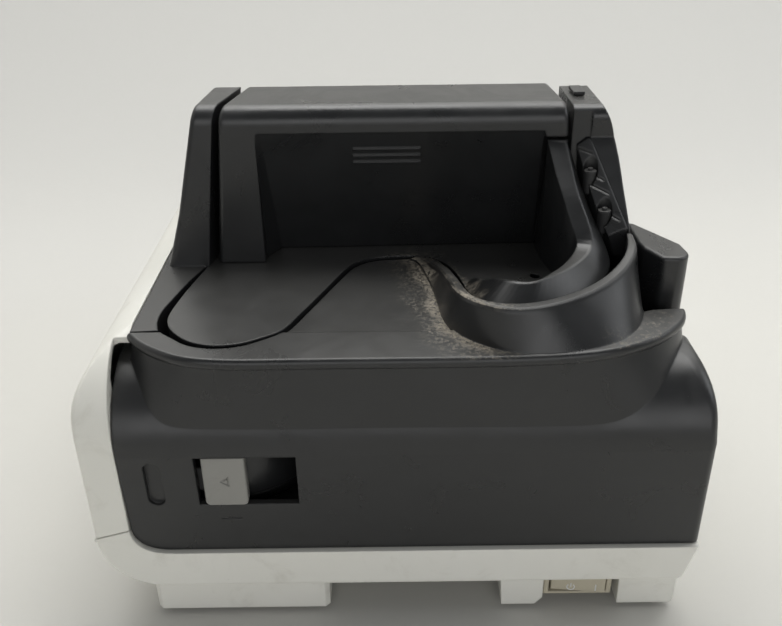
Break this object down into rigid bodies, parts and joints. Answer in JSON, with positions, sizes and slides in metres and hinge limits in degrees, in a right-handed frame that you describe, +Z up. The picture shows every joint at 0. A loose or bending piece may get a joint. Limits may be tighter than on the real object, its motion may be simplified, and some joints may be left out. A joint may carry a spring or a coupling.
{
  "type": "cheque scanner",
  "caption": "Desktop cheque scanner: black hinged front cover and bowl round a curved document track, tall printer housing, roll cover, sliding latch and power rocker on a cream base.",
  "frame": {"origin": "middle of the footprint, on the table that the feet stand on", "axes": "+X to the right seen from the front, -Y out of the front face with the latch and the power switch, +Z up"},
  "size_m": [0.2353, 0.2829, 0.1904],
  "materials": {
    "black_plastic": "satin, lightly textured",
    "cream_plastic": "satin, lightly textured",
    "dark_plastic": "matte",
    "grey_plastic": "satin",
    "taupe_plastic": "satin",
    "white_plastic": "satin",
    "rubber": "matte",
    "steel": "zinc plated",
    "board_green": "solder mask"
  },
  "bodies": {
    "housing": {"track_island": "black_plastic", "tower_housing": "black_plastic", "left_tower": "black_plastic", "right_tower": "black_plastic", "roller_guide": "grey_plastic", "hopper_guide": "black_plastic", "left_side_panel": "cream_plastic", "right_side_panel": "cream_plastic", "base_tray": "cream_plastic", "rear_panel": "cream_plastic", "rear_housing": "black_plastic", "drive_belt": "rubber", "latch_keeper": "dark_plastic", "switch_housing": "taupe_plastic", "drive_motor": "steel", "chassis_plate": "steel", "track_floor": "dark_plastic", "main_board": "board_green", "rear_image_sensor": "dark_plastic", "magnetic_head": "dark_plastic", "ink_cartridge": "dark_plastic", "printer_frame": "steel", "thermal_head": "dark_plastic", "cutter_blade": "steel", "paper_well": "black_plastic", "power_inlet": "dark_plastic", "data_port": "dark_plastic", "drawer_port": "dark_plastic", "cover_hinge_pin": "steel", "roll_cover_pin": "steel", "hinge_bracket": "steel", "rubber_feet": "rubber", "chassis_screws": "steel", "rear_panel_screws": "steel"},
    "cover": {"front_cover": "black_plastic", "front_image_sensor": "dark_plastic", "latch_spring": "steel"},
    "latch": {"latch_knob": "grey_plastic", "latch_bolt": "dark_plastic"},
    "pinch_left": {"pinch_roller_left": "white_plastic"},
    "pinch_right": {"pinch_roller_right": "white_plastic"},
    "rocker": {"power_rocker": "taupe_plastic"},
    "lid": {"roll_cover": "black_plastic"},
    "platen": {"platen_roller": "rubber", "platen_gear": "white_plastic", "platen_axle": "steel"},
    "drive_entry": {"drive_shaft_entry": "steel", "drive_roller_entry": "rubber"},
    "drive_left": {"drive_shaft_left": "steel", "drive_roller_left": "rubber"},
    "drive_right": {"drive_shaft_right": "steel", "drive_roller_right": "rubber"},
    "drive_exit": {"drive_shaft_exit": "steel", "drive_roller_exit": "rubber"},
    "pulley": {"motor_pulley": "steel"},
    "guide_front": {"guide_roller_front": "white_plastic"},
    "guide_rear": {"guide_roller_rear": "white_plastic"},
    "lever": {"release_lever": "dark_plastic"},
    "pusher": {"hopper_pusher": "black_plastic"}
  },
  "joints": [
    {"name": "front_cover_hinge", "type": "hinge", "parent": "housing", "child": "cover", "pos_m": [0.105, -0.0965, 0.08], "axis": [0, 0, 1], "range_deg": [0, 60]},
    {"name": "latch_slide", "type": "slide", "parent": "cover", "child": "latch", "axis": [1, 0, 0], "range_m": [0, 0.014], "stiffness_N_per_m": 120, "springref_m": -0.01},
    {"name": "pinch_left_spin", "type": "hinge", "parent": "cover", "child": "pinch_left", "pos_m": [-0.062, -0.13325, 0.078], "axis": [0, 0, 1], "continuous": true},
    {"name": "pinch_right_spin", "type": "hinge", "parent": "cover", "child": "pinch_right", "pos_m": [0.0454, -0.13, 0.081], "axis": [0, 0, 1], "continuous": true},
    {"name": "power_rocker_tilt", "type": "hinge", "parent": "housing", "child": "rocker", "pos_m": [0.073, -0.1327, 0.0124], "axis": [0, 0, 1], "range_deg": [0, 15]},
    {"name": "roll_cover_hinge", "type": "hinge", "parent": "housing", "child": "lid", "pos_m": [-0.002, 0.1095, 0.1264], "axis": [-1, 0, 0], "range_deg": [0, 90]},
    {"name": "platen_spin", "type": "hinge", "parent": "lid", "child": "platen", "pos_m": [-0.002, -0.0185, 0.171], "axis": [1, 0, 0], "continuous": true},
    {"name": "drive_entry_spin", "type": "hinge", "parent": "housing", "child": "drive_entry", "pos_m": [-0.0732, -0.0795, 0.08], "axis": [0, 0, 1], "continuous": true},
    {"name": "drive_left_spin", "type": "hinge", "parent": "housing", "child": "drive_left", "pos_m": [-0.062, -0.1221, 0.08], "axis": [0, 0, 1], "continuous": true},
    {"name": "drive_right_spin", "type": "hinge", "parent": "housing", "child": "drive_right", "pos_m": [0.0455, -0.1187, 0.08], "axis": [0, 0, 1], "continuous": true},
    {"name": "drive_exit_spin", "type": "hinge", "parent": "housing", "child": "drive_exit", "pos_m": [0.0706, -0.0793, 0.08], "axis": [0, 0, 1], "continuous": true},
    {"name": "motor_pulley_spin", "type": "hinge", "parent": "housing", "child": "pulley", "pos_m": [-0.002, -0.0375, 0.052], "axis": [0, 0, 1], "continuous": true},
    {"name": "guide_front_spin", "type": "hinge", "parent": "housing", "child": "guide_front", "pos_m": [0.0815, -0.0792, 0.1483], "axis": [0, 0, 1], "continuous": true},
    {"name": "guide_rear_spin", "type": "hinge", "parent": "housing", "child": "guide_rear", "pos_m": [0.0768, -0.0692, 0.161], "axis": [0, 0, 1], "continuous": true},
    {"name": "release_lever_slide", "type": "slide", "parent": "housing", "child": "lever", "axis": [0, 1, 0], "range_m": [0, 0.0035]},
    {"name": "hopper_pusher_slide", "type": "slide", "parent": "housing", "child": "pusher", "axis": [1, 0, 0], "range_m": [0, 0.012]}
  ],
  "couplings": [
    {"joint": "drive_left_spin", "follows": "drive_entry_spin", "ratio": 1},
    {"joint": "drive_right_spin", "follows": "drive_entry_spin", "ratio": 1},
    {"joint": "drive_exit_spin", "follows": "drive_entry_spin", "ratio": 1},
    {"joint": "motor_pulley_spin", "follows": "drive_entry_spin", "ratio": 1}
  ]
}
